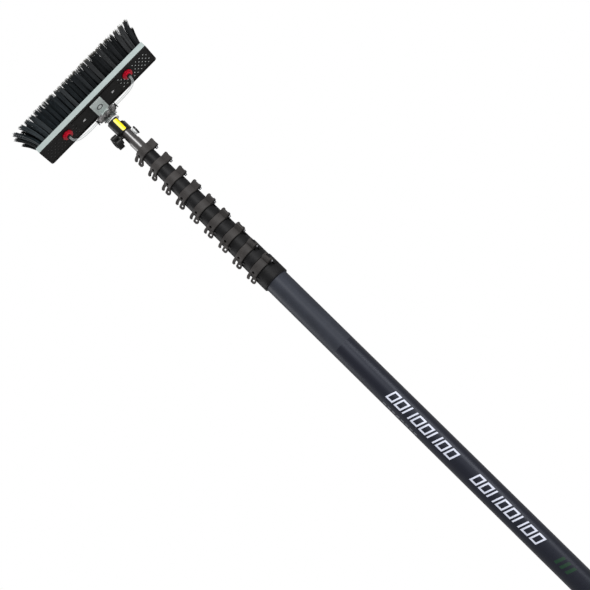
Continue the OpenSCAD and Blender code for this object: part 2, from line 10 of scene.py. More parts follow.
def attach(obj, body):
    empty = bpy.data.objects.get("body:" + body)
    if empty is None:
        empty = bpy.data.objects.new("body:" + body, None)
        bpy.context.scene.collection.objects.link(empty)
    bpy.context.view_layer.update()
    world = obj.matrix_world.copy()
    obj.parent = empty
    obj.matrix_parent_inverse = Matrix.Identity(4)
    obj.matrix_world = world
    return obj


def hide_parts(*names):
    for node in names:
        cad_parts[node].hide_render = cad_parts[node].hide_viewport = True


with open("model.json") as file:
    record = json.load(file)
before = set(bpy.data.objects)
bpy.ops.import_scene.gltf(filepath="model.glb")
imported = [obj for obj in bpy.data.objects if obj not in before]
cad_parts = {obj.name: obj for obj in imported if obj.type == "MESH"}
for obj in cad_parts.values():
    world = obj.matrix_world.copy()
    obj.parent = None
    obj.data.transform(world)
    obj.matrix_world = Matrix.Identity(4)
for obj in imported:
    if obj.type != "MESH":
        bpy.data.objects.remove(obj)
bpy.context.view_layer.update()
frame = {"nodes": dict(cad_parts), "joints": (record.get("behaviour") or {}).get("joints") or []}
print("frame loaded:", len(frame["nodes"]), "nodes")

mm = 0.001
joints = {j["name"]: j for j in frame["joints"]}

# The brush has its own frame: along the stock, across it away from the user, and up the bristles
brush = {"tilt": 12, "across": 20, "height": 24, "coreTop": 15.5, "bristleLength": 72}
hinge = Vector(joints["brush_tilt"]["pos_m"])
brushPlace = (Matrix.Translation(hinge)
              @ Matrix.Rotation(math.radians(-brush["tilt"]), 4, "X")
              @ Matrix.Translation((0, -brush["across"] * mm, brush["height"] * mm)))

# ---- camera ----
# Degrees, metres, and the lens and its film in mm
view = {"lookUp": 12, "roll": 45.49, "distance": 3.05, "focus": 1.4551, "shift": (-0.02048, 0.01241),
        "lens": 92.685, "film": 36, "near": 0.05, "far": 60}


def makeCamera():
    up = math.radians(view["lookUp"])
    # the pole's direction and the brush's direction, as the picture plane sees them
    poleWay = Vector((0, -math.sin(up), math.cos(up)))
    brushWay = Vector((1, 0, 0))
    forward = Vector((0, math.cos(up), math.sin(up)))
    roll = math.radians(view["roll"])
    right = brushWay * math.cos(roll) - poleWay * math.sin(roll)
    upWay = brushWay * math.sin(roll) + poleWay * math.cos(roll)
    shiftRight, shiftUp = view["shift"]
    target = Vector((0, 0, view["focus"]))
    place = target - forward * view["distance"] - right * shiftRight - upWay * shiftUp
    data = bpy.data.cameras.new("camera")
    data.sensor_width = view["film"]
    data.lens = view["lens"]
    data.clip_start, data.clip_end = view["near"], view["far"]
    camera = bpy.data.objects.new("camera", data)
    bpy.context.scene.collection.objects.link(camera)
    turn = Matrix((right, upWay, -forward)).transposed().to_4x4()
    camera.matrix_world = Matrix.Translation(place) @ turn
    bpy.context.scene.camera = camera
    return right, upWay, forward


screenRight, screenUp, screenIn = makeCamera()
print("camera made")

# ---- jet tubes ----
# Route of the right-hand tube: along the stock, across it, and height over the back plate
jetTube = {"radius": 2.5, "roundness": 4, "sharpFrom": 50, "route": [
    (88, -8, 5.5), (88, -8, 9.5), (88, -7.9, 13.5), (87.4, -7.6, 17.5), (85.6, -7, 21.2),
    (82.6, -6.2, 24.2), (78.8, -5.2, 26.3), (74.6, -4.2, 27.5), (70, -3.2, 28), (64, -2, 28.1),
    (58, -0.8, 28), (52, 0.2, 27.7), (46, 1, 27.3), (40, 1.6, 26.9), (34, 1.9, 26.6),
    (28, 2, 26.5), (22, 2, 26.5), (16, 2, 26.5)]}


def smoothRoute(points, steps=4):
    # Catmull-Rom through the points
    out = []
    for i in range(len(points) - 1):
        a = points[max(i - 1, 0)]
        b, c = points[i], points[i + 1]
        d = points[min(i + 2, len(points) - 1)]
        for s in range(steps):
            t = s / steps
            out.append(0.5 * (2 * b + (c - a) * t + (2 * a - 5 * b + 4 * c - d) * t ** 2
                              + (3 * b - a - 3 * c + d) * t ** 3))
    return out + [points[-1]]


def makeJetTube(name, side, node):
    points = [brushPlace @ (Vector((side * x, y, -h)) * mm) for x, y, h in jetTube["route"]]
    points = smoothRoute(points)
    curve = bpy.data.curves.new(name, "CURVE")
    curve.dimensions = "3D"
    curve.bevel_depth = jetTube["radius"] * mm
    curve.bevel_resolution = jetTube["roundness"]
    curve.use_fill_caps = True
    spline = curve.splines.new("POLY")
    spline.points.add(len(points) - 1)
    for p, q in zip(spline.points, points):
        p.co = (*q, 1)
    drawn = bpy.data.objects.new(name + "Curve", curve)
    bpy.context.scene.collection.objects.link(drawn)
    mesh = bpy.data.meshes.new_from_object(drawn)
    mesh.name = name
    bpy.data.objects.remove(drawn)
    bpy.data.curves.remove(curve)
    mesh.shade_smooth()
    mesh.set_sharp_from_angle(angle=math.radians(jetTube["sharpFrom"]))
    tube = bpy.data.objects.new(name, mesh)
    bpy.context.scene.collection.objects.link(tube)
    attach(tube, "brush")
    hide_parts(node)
    return tube


jetTubes = [makeJetTube("jetTubeRight", 1, "jet_tube_right"), makeJetTube("jetTubeLeft", -1, "jet_tube_left")]

# ---- shared effects ----


def addNode(tree, kind, place, **values):
    node = tree.nodes.new(kind)
    node.location = place
    for key, value in values.items():
        setattr(node, key, value)
    return node


def newEffect(name, inputs, outputs):
    group = bpy.data.node_groups.new(name, "ShaderNodeTree")
    for label, kind, value in inputs:
        socket = group.interface.new_socket(label, in_out="INPUT", socket_type=kind)
        socket.default_value = value
    for label, kind in outputs:
        group.interface.new_socket(label, in_out="OUTPUT", socket_type=kind)
    start = addNode(group, "NodeGroupInput", (-900, 0))
    end = addNode(group, "NodeGroupOutput", (900, 0))
    return group, start, end


def mixColor(tree, place, factor, first, second):
    # sockets 6 and 7 of a colour mix are its two colours, and output 2 is the result
    mix = addNode(tree, "ShaderNodeMix", place, data_type="RGBA")
    for socket, source in ((mix.inputs["Factor"], factor), (mix.inputs[6], first), (mix.inputs[7], second)):
        if isinstance(source, tuple):
            socket.default_value = source
        else:
            tree.links.new(source, socket)
    return mix.outputs[2]


def mixFloat(tree, place, factor, first, second):
    # sockets 2 and 3 of a plain mix are its two values
    mix = addNode(tree, "ShaderNodeMix", place, data_type="FLOAT")
    tree.links.new(factor, mix.inputs["Factor"])
    tree.links.new(first, mix.inputs[2])
    tree.links.new(second, mix.inputs[3])
    return mix.outputs[0]


def varyRoughness(group, texture, base, spread):
    # base, moved up and down by half of spread
    less = addNode(group, "ShaderNodeMath", (0, -200), operation="SUBTRACT")
    group.links.new(base, less.inputs[0])
    less.inputs[1].default_value = spread / 2
    rough = addNode(group, "ShaderNodeMath", (200, -50), operation="MULTIPLY_ADD")
    group.links.new(texture, rough.inputs[0])
    rough.inputs[1].default_value = spread
    group.links.new(less.outputs[0], rough.inputs[2])
    return rough.outputs[0]


def makeMouldedGrain():
    # fine moulded skin, with a second colour laid in soft random clouds: wear on most pieces, and painted
    # reflection on the tee
    group, start, end = newEffect("mouldedGrain", [
        ("Color", "NodeSocketColor", (0.05, 0.05, 0.05, 1)),
        ("Worn And Painted Sheen", "NodeSocketColor", (0.12, 0.12, 0.12, 1)),
        ("Grain Size", "NodeSocketFloat", 900), ("Cloud Size", "NodeSocketFloat", 40),
        ("Wear And Painted Sheen", "NodeSocketFloat", 0.3), ("Roughness", "NodeSocketFloat", 0.5)],
        [("Color", "NodeSocketColor"), ("Roughness", "NodeSocketFloat"), ("Height", "NodeSocketFloat")])
    link = group.links.new
    coord = addNode(group, "ShaderNodeTexCoord", (-900, 300))
    fine = addNode(group, "ShaderNodeTexNoise", (-600, 300))
    fine.inputs["Detail"].default_value = 3
    cloud = addNode(group, "ShaderNodeTexNoise", (-600, 0))
    cloud.inputs["Detail"].default_value = 5
    cloud.inputs["Roughness"].default_value = 0.65
    link(coord.outputs["Object"], fine.inputs["Vector"])
    link(coord.outputs["Object"], cloud.inputs["Vector"])
    link(start.outputs["Grain Size"], fine.inputs["Scale"])
    link(start.outputs["Cloud Size"], cloud.inputs["Scale"])
    ramp = addNode(group, "ShaderNodeMapRange", (-300, 0))
    ramp.inputs["From Min"].default_value = 0.42
    ramp.inputs["From Max"].default_value = 0.75
    link(cloud.outputs["Fac"], ramp.inputs["Value"])
    share = addNode(group, "ShaderNodeMath", (-100, 0), operation="MULTIPLY")
    link(ramp.outputs["Result"], share.inputs[0])
    link(start.outputs["Wear And Painted Sheen"], share.inputs[1])
    shade = mixColor(group, (200, 200), share.outputs[0], start.outputs["Color"], start.outputs["Worn And Painted Sheen"])
    link(shade, end.inputs["Color"])
    rough = varyRoughness(group, cloud.outputs["Fac"], start.outputs["Roughness"], 0.25)
    link(rough, end.inputs["Roughness"])
    link(fine.outputs["Fac"], end.inputs["Height"])
    return group


def makeFibreWeave():
    # woven carbon cloth wrapped round the pole: bands that cross at a right angle, faint under the lacquer
    group, start, end = newEffect("fibreWeave", [
        ("Dark", "NodeSocketColor", (0.012, 0.013, 0.016, 1)),
        ("Light", "NodeSocketColor", (0.03, 0.032, 0.04, 1)),
        ("Tow", "NodeSocketFloat", 2.2), ("Roughness", "NodeSocketFloat", 0.3)],
        [("Color", "NodeSocketColor"), ("Roughness", "NodeSocketFloat"), ("Height", "NodeSocketFloat")])
    link = group.links.new
    coord = addNode(group, "ShaderNodeTexCoord", (-900, 300))
    split = addNode(group, "ShaderNodeSeparateXYZ", (-750, 300))
    link(coord.outputs["Object"], split.inputs[0])
    angle = addNode(group, "ShaderNodeMath", (-600, 400), operation="ARCTAN2")
    link(split.outputs["Y"], angle.inputs[0])
    link(split.outputs["X"], angle.inputs[1])
    turns = addNode(group, "ShaderNodeMath", (-450, 400), operation="MULTIPLY")
    link(angle.outputs[0], turns.inputs[0])
    # bands round the pole
    turns.inputs[1].default_value = 24
    rise = addNode(group, "ShaderNodeMath", (-600, 200), operation="MULTIPLY")
    link(split.outputs["Z"], rise.inputs[0])
    # one full wave in every Tow millimetres along the pole
    step = addNode(group, "ShaderNodeMath", (-750, 100), operation="DIVIDE")
    step.inputs[0].default_value = 2 * math.pi / mm
    link(start.outputs["Tow"], step.inputs[1])
    link(step.outputs[0], rise.inputs[1])
    waves = []
    for n, kind in enumerate(("ADD", "SUBTRACT")):
        both = addNode(group, "ShaderNodeMath", (-300, 400 - 200 * n), operation=kind)
        link(turns.outputs[0], both.inputs[0])
        link(rise.outputs[0], both.inputs[1])
        wave = addNode(group, "ShaderNodeMath", (-150, 400 - 200 * n), operation="SINE")
        link(both.outputs[0], wave.inputs[0])
        waves.append(wave)
    product = addNode(group, "ShaderNodeMath", (0, 300), operation="MULTIPLY")
    link(waves[0].outputs[0], product.inputs[0])
    link(waves[1].outputs[0], product.inputs[1])
    share = addNode(group, "ShaderNodeMapRange", (150, 300))
    share.inputs["From Min"].default_value = -0.7
    share.inputs["From Max"].default_value = 0.7
    link(product.outputs[0], share.inputs["Value"])
    cloud = addNode(group, "ShaderNodeTexNoise", (0, 0))
    cloud.inputs["Scale"].default_value = 22
    cloud.inputs["Detail"].default_value = 6
    link(coord.outputs["Object"], cloud.inputs["Vector"])
    shade = mixColor(group, (400, 300), share.outputs["Result"], start.outputs["Dark"], start.outputs["Light"])
    link(shade, end.inputs["Color"])
    rough = varyRoughness(group, cloud.outputs["Fac"], start.outputs["Roughness"], 0.2)
    link(rough, end.inputs["Roughness"])
    link(cloud.outputs["Fac"], end.inputs["Height"])
    return group


def makeBrushedMetal():
    # long fine scratches along one direction, over a slightly cloudy grey
    group, start, end = newEffect("brushedMetal", [
        ("Color", "NodeSocketColor", (0.6, 0.62, 0.62, 1)), ("Stretch", "NodeSocketVector", (1, 1, 1)),
        ("Scratch Size", "NodeSocketFloat", 500), ("Roughness", "NodeSocketFloat", 0.35)],
        [("Color", "NodeSocketColor"), ("Roughness", "NodeSocketFloat"), ("Height", "NodeSocketFloat")])
    link = group.links.new
    coord = addNode(group, "ShaderNodeTexCoord", (-900, 300))
    scale = addNode(group, "ShaderNodeVectorMath", (-700, 300), operation="MULTIPLY")
    link(coord.outputs["Object"], scale.inputs[0])
    link(start.outputs["Stretch"], scale.inputs[1])
    scratch = addNode(group, "ShaderNodeTexNoise", (-500, 300))
    scratch.inputs["Detail"].default_value = 2
    link(scale.outputs[0], scratch.inputs["Vector"])
    link(start.outputs["Scratch Size"], scratch.inputs["Scale"])
    shade = addNode(group, "ShaderNodeMapRange", (-200, 300))
    shade.inputs["To Min"].default_value = 0.82
    shade.inputs["To Max"].default_value = 1.1
    link(scratch.outputs["Fac"], shade.inputs["Value"])
    tint = addNode(group, "ShaderNodeVectorMath", (100, 300), operation="SCALE")
    link(start.outputs["Color"], tint.inputs[0])
    link(shade.outputs["Result"], tint.inputs["Scale"])
    link(tint.outputs[0], end.inputs["Color"])
    rough = varyRoughness(group, scratch.outputs["Fac"], start.outputs["Roughness"], 0.2)
    link(rough, end.inputs["Roughness"])
    link(scratch.outputs["Fac"], end.inputs["Height"])
    return group


def makeDiscMask():
    # 0 inside a round spot on the brush and 1 outside it, whatever the depth
    group, start, end = newEffect("discMask", [
        ("Centre", "NodeSocketVector", (0, 0, 0)), ("Low", "NodeSocketFloat", 0.004),
        ("High", "NodeSocketFloat", 0.005)], [("Color", "NodeSocketFloat")])
    link = group.links.new
    coord = addNode(group, "ShaderNodeTexCoord", (-900, 300))
    turn = addNode(group, "ShaderNodeMapping", (-700, 300), vector_type="TEXTURE")
    turn.inputs["Location"].default_value = brushPlace.to_translation()
    turn.inputs["Rotation"].default_value = brushPlace.to_euler()
    link(coord.outputs["Object"], turn.inputs["Vector"])
    away = addNode(group, "ShaderNodeVectorMath", (-500, 300), operation="SUBTRACT")
    link(turn.outputs[0], away.inputs[0])
    link(start.outputs["Centre"], away.inputs[1])
    flat = addNode(group, "ShaderNodeVectorMath", (-300, 300), operation="MULTIPLY")
    flat.inputs[1].default_value = (1, 1, 0)
    link(away.outputs[0], flat.inputs[0])
    size = addNode(group, "ShaderNodeVectorMath", (-100, 300), operation="LENGTH")
    link(flat.outputs[0], size.inputs[0])
    spot = addNode(group, "ShaderNodeMapRange", (100, 300))
    link(size.outputs["Value"], spot.inputs["Value"])
    link(start.outputs["Low"], spot.inputs["From Min"])
    link(start.outputs["High"], spot.inputs["From Max"])
    link(spot.outputs["Result"], end.inputs["Color"])
    return group


mouldedGrain = makeMouldedGrain()
fibreWeave = makeFibreWeave()
brushedMetal = makeBrushedMetal()
discMask = makeDiscMask()
print("effects made")

# ---- materials ----


def startMaterial(name):
    material = bpy.data.materials.new(name)
    material.use_nodes = True
    tree = material.node_tree
    return material, tree, tree.nodes["Principled BSDF"]


def addEffect(tree, effect, place, values):
    node = addNode(tree, "ShaderNodeGroup", place, node_tree=effect)
    for key, value in values.items():
        node.inputs[key].default_value = value
    return node.outputs


def addRelief(tree, shader, height, depth):
    relief = addNode(tree, "ShaderNodeBump", (-250, -200))
    relief.inputs["Distance"].default_value = depth * mm
    tree.links.new(height, relief.inputs["Height"])
    tree.links.new(relief.outputs["Normal"], shader.inputs["Normal"])


def useEffect(tree, shader, effect, values, bump):
    outputs = addEffect(tree, effect, (-500, 100), values)
    tree.links.new(outputs["Color"], shader.inputs["Base Color"])
    tree.links.new(outputs["Roughness"], shader.inputs["Roughness"])
    addRelief(tree, shader, outputs["Height"], bump)


def plastic(name, color, wornAndPaintedSheen, roughness=0.5, grain=900, cloud=40, wearAndPaintedSheen=0.35, bump=0.12, coat=0.0,
            specular=0.5):
    material, tree, shader = startMaterial(name)
    useEffect(tree, shader, mouldedGrain, {
        "Color": (*color, 1), "Worn And Painted Sheen": (*wornAndPaintedSheen, 1), "Grain Size": grain, "Cloud Size": cloud,
        "Wear And Painted Sheen": wearAndPaintedSheen, "Roughness": roughness}, bump)
    shader.inputs["Coat Weight"].default_value = coat
    shader.inputs["Specular IOR Level"].default_value = specular
    return material


def carbon(name, dark, light, roughness, coat, coatRoughness=0.12):
    material, tree, shader = startMaterial(name)
    useEffect(tree, shader, fibreWeave, {
        "Dark": (*dark, 1), "Light": (*light, 1), "Roughness": roughness}, 0.05)
    shader.inputs["Coat Weight"].default_value = coat
    shader.inputs["Coat Roughness"].default_value = coatRoughness
    return material


def metal(name, color, roughness, stretch=(1, 1, 1), scratch=500, bump=0.04, metallic=1.0):
    material, tree, shader = startMaterial(name)
    useEffect(tree, shader, brushedMetal, {
        "Color": (*color, 1), "Stretch": stretch, "Scratch Size": scratch, "Roughness": roughness}, bump)
    shader.inputs["Metallic"].default_value = metallic
    return material


finish = {
    "collar": plastic("collarNylon", (0.006, 0.006, 0.0065), (0.02, 0.02, 0.022), 0.5, wearAndPaintedSheen=0.5, bump=0.2,
                      specular=0.15),
    "lever": plastic("leverNylon", (0.034, 0.031, 0.03), (0.075, 0.069, 0.066), 0.55, wearAndPaintedSheen=0.55, bump=0.25,
                     specular=0.2),
    "pin": metal("pinSteel", (0.25, 0.25, 0.26), 0.35),
    "cap": plastic("capRubber", (0.01, 0.01, 0.01), (0.028, 0.028, 0.028), 0.75, bump=0.3, specular=0.2),
    "section": carbon("sectionCarbon", (0.012, 0.012, 0.013), (0.03, 0.029, 0.03), 0.25, 0.7),
    "tip": carbon("tipCarbon", (0.02, 0.018, 0.018), (0.05, 0.045, 0.044), 0.38, 1.0, coatRoughness=0.3),
    "housing": plastic("housingNylon", (0.007, 0.007, 0.0072), (0.022, 0.021, 0.021), 0.4, wearAndPaintedSheen=0.4, bump=0.15,
                       specular=0.25),
    "knob": plastic("knobNylon", (0.005, 0.005, 0.005), (0.018, 0.018, 0.018), 0.4, bump=0.15, specular=0.22),
    "button": plastic("buttonNylon", (0.016, 0.016, 0.017), (0.045, 0.045, 0.045), 0.45, bump=0.15, specular=0.3),
    "spring": metal("springSteel", (0.6, 0.6, 0.62), 0.25),
    "washer": plastic("washerWhite", (0.92, 0.91, 0.88), (0.8, 0.78, 0.75), 0.35, bump=0.05),
    "yoke": plastic("yokeNylon", (0.1, 0.11, 0.108), (0.3, 0.33, 0.32), 0.3, cloud=110, wearAndPaintedSheen=0.9, coat=0.3),
    "steel": metal("screwSteel", (0.85, 0.86, 0.86), 0.3, scratch=700, metallic=0.6),
    "bracket": metal("bracketAluminium", (0.7, 0.77, 0.75), 0.45, (1, 0.08, 1), 900, 0.06, 0.1),
    "core": plastic("corePlastic", (0.36, 0.42, 0.41), (0.46, 0.52, 0.51), 0.6, grain=1400, cloud=55, wearAndPaintedSheen=0.6,
                    bump=0.15, specular=0.3),
    # painted light and painted shade: the same core plastic seen in the holes of the back plate, painted lighter
    # on the right of the brush and darker on the left
    "peg": plastic("pegPaintedLight", (0.6, 0.63, 0.62), (0.75, 0.78, 0.77), 0.4, wearAndPaintedSheen=0.6, bump=0.05),
    "pegPaintedShade": plastic("pegPaintedShade", (0.04, 0.04, 0.04), (0.09, 0.09, 0.09), 0.4, wearAndPaintedSheen=0.6, bump=0.05),
    "back": plastic("backPlastic", (0.005, 0.0045, 0.0045), (0.016, 0.014, 0.013), 0.45, wearAndPaintedSheen=0.5, bump=0.15,
                    specular=0.16),
    "nut": plastic("nutRed", (0.5, 0.004, 0.022), (0.3, 0.003, 0.012), 0.32, grain=700, wearAndPaintedSheen=0.6, bump=0.06,
                   coat=0.25, specular=0.3),
    "jet": plastic("jetPlastic", (0.006, 0.006, 0.006), (0.018, 0.018, 0.018), 0.35, specular=0.25),
    # painted reflection: the tee's dark colour with large light clouds of its second colour stands in for its
    # bright reflections
    "tee": plastic("teeAcetal", (0.012, 0.012, 0.012), (0.3, 0.29, 0.29), 0.2, cloud=130, wearAndPaintedSheen=1.0, bump=0.08,
                   coat=0.6, specular=0.3),
    "collet": plastic("colletBlack", (0.005, 0.005, 0.005), (0.018, 0.018, 0.018), 0.3, specular=0.3),
    "label": plastic("labelYellow", (0.98, 0.8, 0.0), (0.9, 0.7, 0.0), 0.35, wearAndPaintedSheen=0.25, bump=0.02),
    "printWhite": plastic("printWhite", (0.72, 0.75, 0.86), (0.5, 0.54, 0.66), 0.4, wearAndPaintedSheen=0.6, bump=0.02),
    "printGrey": plastic("printGrey", (0.2, 0.21, 0.24), (0.12, 0.13, 0.15), 0.4, wearAndPaintedSheen=0.4, bump=0.02),
    "printGreen": plastic("printGreen", (0.003, 0.035, 0.014), (0.002, 0.02, 0.009), 0.4, wearAndPaintedSheen=0.4, bump=0.02),
}


def beyond(tree, axis, place, edge):
    # 0 before a place along one axis and 1 after it
    coord = addNode(tree, "ShaderNodeTexCoord", (-1100, 0))
    split = addNode(tree, "ShaderNodeSeparateXYZ", (-900, 0))
    tree.links.new(coord.outputs["Object"], split.inputs[0])
    part = addNode(tree, "ShaderNodeMapRange", (-700, 0))
    part.inputs["From Min"].default_value = place - edge
    part.inputs["From Max"].default_value = place + edge
    tree.links.new(split.outputs[axis], part.inputs["Value"])
    return part.outputs["Result"]


def makePoleFinish():
    # satin cloth grip over the top of the base tube, then bare lacquered carbon below it
    values = {"gripFrom": 1.289, "edge": 0.0004, "relief": 0.06, "lacquer": 0.35, "gripLacquer": 0.2}
    material, tree, shader = startMaterial("baseTubeCarbon")
    link = tree.links.new
    weave = addEffect(tree, fibreWeave, (-700, 200), {
        "Dark": (0.004, 0.0045, 0.0085, 1), "Light": (0.0085, 0.0095, 0.018, 1), "Tow": 3, "Roughness": 0.4})
    skin = addEffect(tree, mouldedGrain, (-700, -200), {
        "Color": (0.021, 0.023, 0.03, 1), "Worn And Painted Sheen": (0.033, 0.037, 0.05, 1), "Grain Size": 800, "Wear And Painted Sheen": 0.5,
        "Roughness": 0.62})
    grip = beyond(tree, "Z", values["gripFrom"], values["edge"])
    link(mixColor(tree, (-400, 300), grip, weave["Color"], skin["Color"]), shader.inputs["Base Color"])
    link(mixFloat(tree, (-400, 0), grip, weave["Roughness"], skin["Roughness"]), shader.inputs["Roughness"])
    height = mixFloat(tree, (-400, -300), grip, weave["Height"], skin["Height"])
    addRelief(tree, shader, height, values["relief"])
    lacquer = addNode(tree, "ShaderNodeMath", (-400, -500), operation="MULTIPLY_ADD")
    link(grip, lacquer.inputs[0])
    lacquer.inputs[1].default_value = values["gripLacquer"] - values["lacquer"]
    lacquer.inputs[2].default_value = values["lacquer"]
    link(lacquer.outputs[0], shader.inputs["Coat Weight"])
    shader.inputs["Coat Roughness"].default_value = 0.35
    shader.inputs["Specular IOR Level"].default_value = 0.3
    shader.inputs["Specular Tint"].default_value = (0.72, 0.8, 1, 1)
    return material


finish["base"] = makePoleFinish()


def makeBoltFinish():
    # bright shank and shoulder, with a black moulded disc on the head
    values = {"discFrom": 0.0174, "edge": 0.0002}
    material, tree, shader = startMaterial("crossBolt")
    link = tree.links.new
    bright = addEffect(tree, brushedMetal, (-700, 200), {"Color": (0.72, 0.74, 0.74, 1), "Roughness": 0.4})
    black = addEffect(tree, mouldedGrain, (-700, -200), {
        "Color": (0.006, 0.006, 0.006, 1), "Worn And Painted Sheen": (0.02, 0.02, 0.02, 1), "Roughness": 0.4})
    disc = beyond(tree, "X", values["discFrom"], values["edge"])
    link(mixColor(tree, (-400, 300), disc, bright["Color"], black["Color"]), shader.inputs["Base Color"])
    link(mixFloat(tree, (-400, 0), disc, bright["Roughness"], black["Roughness"]), shader.inputs["Roughness"])
    shader.inputs["Specular IOR Level"].default_value = 0.35
    return material


finish["bolt"] = makeBoltFinish()


spots = {"paintedScrewShade": {"centre": (0, 2.3, 0), "low": 7.2, "high": 7.8, "color": (0.03, 0.033, 0.033, 1)},
         "hole": {"centre": (41.8, 3, 0), "low": 4.4, "high": 4.8, "color": (0.95, 0.95, 0.95, 1)}}


def addSpot(material, values, side=1):
    # a round spot of another colour on a brush piece: the painted shade round the bracket screw, and the painted
    # light in the accessory holes of the core
    tree = material.node_tree
    shader = tree.nodes["Principled BSDF"]
    socket = shader.inputs["Base Color"]
    before = socket.links[0].from_socket
    x, y, z = values["centre"]
    mask = addEffect(tree, discMask, (-700, 500), {
        "Centre": (side * x * mm, y * mm, z * mm), "Low": values["low"] * mm, "High": values["high"] * mm})
    tree.links.new(mixColor(tree, (-200, 400), mask["Color"], values["color"], before), socket)


# painted shade: a dark ring painted on the bracket round the screw head
addSpot(finish["bracket"], spots["paintedScrewShade"])
# painted light: the core painted near-white where it shows in the two accessory holes
for side in (-1, 1):
    addSpot(finish["core"], spots["hole"], side)


def makeClearTube():
    # milky clear wall: nearly open where it faces the eye, and pale at its edges
    material, tree, shader = startMaterial("clearTube")
    link = tree.links.new
    shader.inputs["Base Color"].default_value = (0.42, 0.45, 0.45, 1)
    shader.inputs["IOR"].default_value = 1.38
    facing = addNode(tree, "ShaderNodeLayerWeight", (-700, -200))
    facing.inputs["Blend"].default_value = 0.5
    alpha = addNode(tree, "ShaderNodeMapRange", (-400, -200))
    alpha.inputs["To Min"].default_value = 0.12
    alpha.inputs["To Max"].default_value = 0.95
    link(facing.outputs["Facing"], alpha.inputs["Value"])
    link(alpha.outputs["Result"], shader.inputs["Alpha"])
    coord = addNode(tree, "ShaderNodeTexCoord", (-900, 100))
    cloud = addNode(tree, "ShaderNodeTexNoise", (-700, 100))
    cloud.inputs["Scale"].default_value = 120
    link(coord.outputs["Object"], cloud.inputs["Vector"])
    rough = addNode(tree, "ShaderNodeMapRange", (-400, 100))
    rough.inputs["To Min"].default_value = 0.12
    rough.inputs["To Max"].default_value = 0.3
    link(cloud.outputs["Fac"], rough.inputs["Value"])
    link(rough.outputs["Result"], shader.inputs["Roughness"])
    return material


finish["tube"] = makeClearTube()


def makeBristleFinish():
    # slate filaments, lighter and browner towards their split tips, bluer at one end of the brush, and with
    # painted shade on the rows behind the first
    values = {"root": (0.004, 0.0045, 0.005), "middle": (0.013, 0.0145, 0.016), "tip": (0.13, 0.12, 0.095),
              "blue": (0.03, 0.048, 0.058), "blueFrom": 60, "blueTo": -160, "blueShare": 0.75,
              "shadeFrom": -17, "shadeTo": -13, "shade": 0.3, "middleFrom": 0.35, "middleTo": 0.86}
    material, tree, shader = startMaterial("bristleFilament")
    link = tree.links.new
    coord = addNode(tree, "ShaderNodeTexCoord", (-1300, 0))
    turn = addNode(tree, "ShaderNodeMapping", (-1100, 0), vector_type="TEXTURE")
    turn.inputs["Location"].default_value = brushPlace.to_translation()
    turn.inputs["Rotation"].default_value = brushPlace.to_euler()
    link(coord.outputs["Object"], turn.inputs["Vector"])
    split = addNode(tree, "ShaderNodeSeparateXYZ", (-900, 0))
    link(turn.outputs[0], split.inputs[0])
    height = addNode(tree, "ShaderNodeMapRange", (-700, 0))
    height.inputs["From Min"].default_value = brush["coreTop"] * mm
    height.inputs["From Max"].default_value = (brush["coreTop"] + brush["bristleLength"]) * mm
    link(split.outputs["Z"], height.inputs["Value"])
    ramp = addNode(tree, "ShaderNodeValToRGB", (-500, 100))
    ramp.color_ramp.elements[0].color = (*values["root"], 1)
    ramp.color_ramp.elements[0].position = 0.0
    ramp.color_ramp.elements[1].color = (*values["tip"], 1)
    ramp.color_ramp.elements[1].position = 1.0
    for key in ("middleFrom", "middleTo"):
        ramp.color_ramp.elements.new(values[key]).color = (*values["middle"], 1)
    link(height.outputs["Result"], ramp.inputs["Fac"])
    side = addNode(tree, "ShaderNodeMapRange", (-700, -300))
    side.inputs["From Min"].default_value = values["blueFrom"] * mm
    side.inputs["From Max"].default_value = values["blueTo"] * mm
    side.inputs["To Max"].default_value = values["blueShare"]
    link(split.outputs["X"], side.inputs["Value"])
    cloud = addNode(tree, "ShaderNodeTexNoise", (-700, -550))
    cloud.inputs["Scale"].default_value = 160
    link(turn.outputs[0], cloud.inputs["Vector"])
    share = addNode(tree, "ShaderNodeMath", (-500, -300), operation="MULTIPLY")
    link(side.outputs["Result"], share.inputs[0])
    link(cloud.outputs["Fac"], share.inputs[1])
    blue = mixColor(tree, (-200, 100), share.outputs[0], ramp.outputs["Color"], (*values["blue"], 1))
    # painted shade: the rows behind the first one are darkened in their colour, as they stay in its shade
    behind = addNode(tree, "ShaderNodeMapRange", (-200, 400))
    behind.inputs["From Min"].default_value = values["shadeFrom"] * mm
    behind.inputs["From Max"].default_value = values["shadeTo"] * mm
    behind.inputs["To Min"].default_value = 1.0
    behind.inputs["To Max"].default_value = values["shade"]
    link(split.outputs["Y"], behind.inputs["Value"])
    shaded = addNode(tree, "ShaderNodeVectorMath", (0, 300), operation="SCALE")
    link(blue, shaded.inputs[0])
    link(behind.outputs["Result"], shaded.inputs["Scale"])
    link(shaded.outputs[0], shader.inputs["Base Color"])
    rough = addNode(tree, "ShaderNodeMapRange", (-300, -300))
    rough.inputs["To Min"].default_value = 0.4
    rough.inputs["To Max"].default_value = 0.7
    link(cloud.outputs["Fac"], rough.inputs["Value"])
    link(rough.outputs["Result"], shader.inputs["Roughness"])
    shader.inputs["Specular IOR Level"].default_value = 0.2
    return material


finish["bristle"] = makeBristleFinish()
print("materials made:", len(finish))

